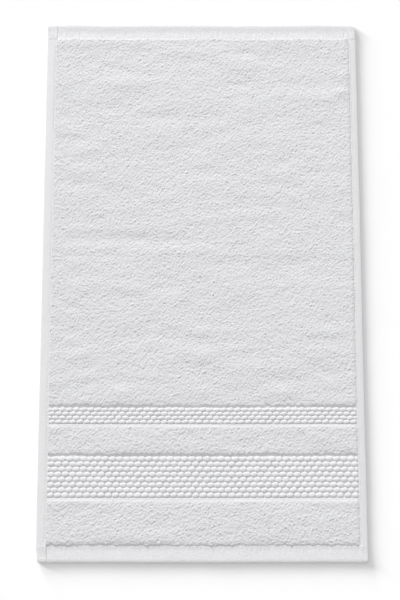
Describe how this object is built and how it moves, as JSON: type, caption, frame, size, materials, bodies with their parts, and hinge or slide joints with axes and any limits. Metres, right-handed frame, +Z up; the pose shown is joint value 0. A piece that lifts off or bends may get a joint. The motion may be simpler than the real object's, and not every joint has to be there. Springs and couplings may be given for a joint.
{
  "type": "hand towel",
  "caption": "Flat white terry hand towel with hemmed edges, a narrow and a wide band of raised woven beads near one end, and a plain welt beside each band.",
  "frame": {"origin": "on the flat underside, at the middle of the towel", "axes": "+Y along the length towards the plain end, away from the two bands; +X across the width, to the right when the banded end is nearest; +Z up, out of the face side"},
  "size_m": [0.4, 0.7, 0.0057],
  "materials": {
    "white_terry": "matt looped cotton"
  },
  "bodies": {
    "root": {"towel": "white_terry"}
  },
  "joints": []
}
